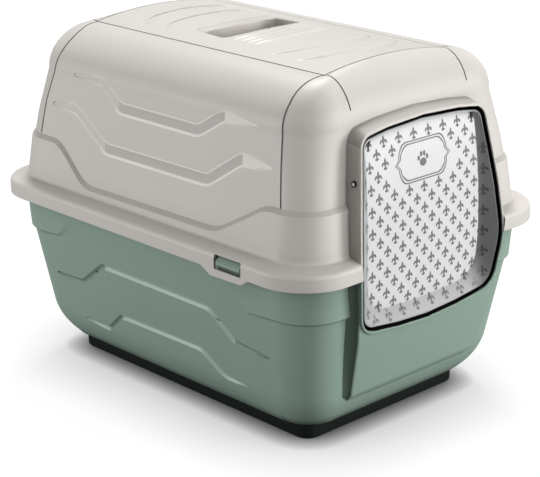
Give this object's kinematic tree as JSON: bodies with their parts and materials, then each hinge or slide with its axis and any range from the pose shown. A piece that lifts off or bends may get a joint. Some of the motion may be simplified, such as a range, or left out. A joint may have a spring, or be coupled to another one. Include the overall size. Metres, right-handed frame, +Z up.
{
  "type": "hooded cat litter box",
  "caption": "Hooded cat litter box: deep tray, lift-off hood with a rolled rim, a swinging dish-shaped door in a proud frame, and spring catches at the sides.",
  "frame": {"origin": "on the floor, under the middle of the hood's rim", "axes": "+Z up, the doorway faces -Y, +X to the right seen from in front of the doorway"},
  "size_m": [0.4, 0.535, 0.4109],
  "materials": {
    "tray_plastic": "fine-grained moulded plastic, grey-green",
    "hood_plastic": "fine-grained moulded plastic, warm light grey",
    "door_plastic": "satin moulded plastic, near white, with a grey printed ornament",
    "pin_steel": "satin"
  },
  "bodies": {
    "tray": {"tray": "tray_plastic"},
    "hood": {"hood": "hood_plastic"},
    "door": {"door": "door_plastic", "pivot_pin_left": "pin_steel", "pivot_pin_right": "pin_steel"},
    "catch_left": {"catch_left": "tray_plastic"},
    "catch_right": {"catch_right": "tray_plastic"}
  },
  "joints": [
    {"name": "hood_lift", "type": "slide", "parent": "tray", "child": "hood", "axis": [0, 0, 1], "range_m": [0, 0.3]},
    {"name": "door_swing", "type": "hinge", "parent": "hood", "child": "door", "pos_m": [0, -0.245, 0.3007], "axis": [1, 0, 0], "range_deg": [-80, 80]},
    {"name": "catch_left_press", "type": "hinge", "parent": "tray", "child": "catch_left", "pos_m": [-0.19375, -0.153, 0.20155], "axis": [0, 1, 0], "range_deg": [0, 10], "stiffness_Nm_per_rad": 0.5},
    {"name": "catch_right_press", "type": "hinge", "parent": "tray", "child": "catch_right", "pos_m": [0.19375, -0.153, 0.20155], "axis": [0, -1, 0], "range_deg": [0, 10], "stiffness_Nm_per_rad": 0.5}
  ]
}
